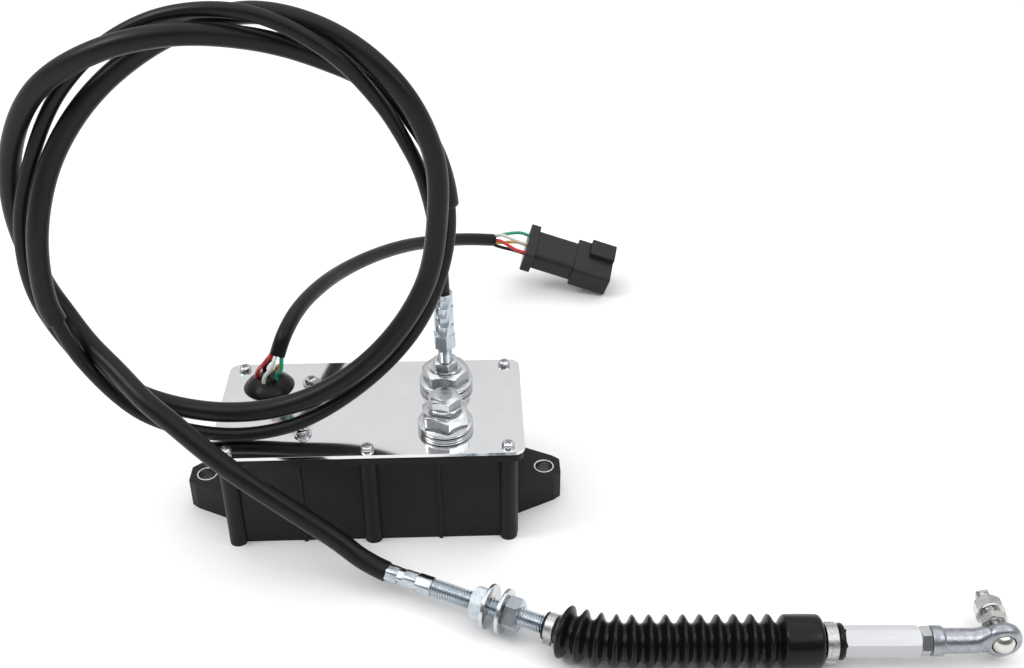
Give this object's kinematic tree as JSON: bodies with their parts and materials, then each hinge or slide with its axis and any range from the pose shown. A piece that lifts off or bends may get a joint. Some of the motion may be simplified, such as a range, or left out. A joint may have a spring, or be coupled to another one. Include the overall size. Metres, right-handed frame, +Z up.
{
  "type": "throttle motor",
  "caption": "Geared electric motor in a sealed box with mounting ears that pushes and pulls a long control cable ending in a bellows boot, rod and ball joint.",
  "frame": {"origin": "middle of the box's bottom, on the floor", "axes": "+X along the box towards its cable ports, +Y from the front of the picture to its back, +Z up through the cover plate"},
  "size_m": [0.5108, 0.4058, 0.296],
  "materials": {
    "black_plastic": "matt moulded",
    "mirror_steel": "polished",
    "zinc": "bright zinc plated",
    "blue_zinc": "blue zinc plated",
    "steel": "machined",
    "aluminium": "plain",
    "cast_grey": "cast",
    "nickel": "polished",
    "brass": "machined",
    "rubber": "satin",
    "cable_black": "semi-gloss",
    "grey_plastic": "fine grain",
    "red_pvc": "semi-gloss",
    "white_pvc": "semi-gloss",
    "green_pvc": "semi-gloss",
    "yellow_pvc": "semi-gloss"
  },
  "bodies": {
    "casing": {"housing": "black_plastic", "ear_bushes": "steel", "gasket": "rubber", "cover_plate": "mirror_steel", "cover_screws": "zinc", "strap_screws": "zinc", "strap_washers": "zinc", "motor_strap": "steel", "motor_pad": "rubber", "motor": "steel", "motor_end_bell": "grey_plastic", "gearhead": "steel", "gearhead_screws": "zinc", "bracket": "steel", "shaft_bush": "brass", "position_sensor": "grey_plastic", "sensor_screws": "zinc", "core_wire": "steel", "port_locknuts": "zinc", "port_bush_rear": "zinc", "port_bush_front": "zinc", "port_washers": "zinc", "port_seals": "rubber", "port_nuts": "zinc", "port_ring": "zinc", "blank_bolt": "zinc", "blank_nut": "zinc", "conduit_stud": "blue_zinc", "stud_nut_rear": "zinc", "conduit": "cable_black", "hub": "blue_zinc", "hub_nuts": "blue_zinc", "hub_washers": "zinc", "boot_clamp_hub": "zinc", "grommet": "rubber", "wire_red": "red_pvc", "wire_white": "white_pvc", "wire_black": "cable_black", "wire_green": "green_pvc", "wire_yellow": "yellow_pvc", "sheath": "cable_black", "plug_body": "grey_plastic", "plug_shell": "grey_plastic", "plug_pins": "brass"},
    "drum_set": {"output_shaft": "steel", "drum": "brass", "drum_key": "steel", "wire_end": "steel"},
    "sleeve": {"swivel_sleeve": "steel", "boot": "rubber"},
    "rod": {"slide_rod": "steel", "hex_rod": "aluminium", "jam_nut": "zinc", "rod_end": "cast_grey", "boot_clamp_rod": "zinc"},
    "stud": {"ball_stud": "nickel", "stud_nut": "zinc", "stud_washer": "zinc"}
  },
  "joints": [
    {"name": "drum_turn", "type": "hinge", "parent": "casing", "child": "drum_set", "pos_m": [0.042, 0, 0.0305], "axis": [-1, 0, 0], "range_deg": [0, 143.2]},
    {"name": "swivel", "type": "hinge", "parent": "casing", "child": "sleeve", "pos_m": [0.11729, -0.13426, 0.014], "axis": [0, 0, 1], "range_deg": [-50, 2]},
    {"name": "rod_slide", "type": "slide", "parent": "sleeve", "child": "rod", "axis": [0.9996, -0.0279, 0], "range_m": [-0.05, 0], "deforming": ["boot"]},
    {"name": "stud_tilt", "type": "hinge", "parent": "rod", "child": "stud", "pos_m": [0.31972, -0.13992, 0.014], "axis": [0, 0, 1], "range_deg": [-18, 18]}
  ],
  "couplings": [
    {"joint": "rod_slide", "follows": "drum_turn", "m_per_rad": -0.02}
  ]
}
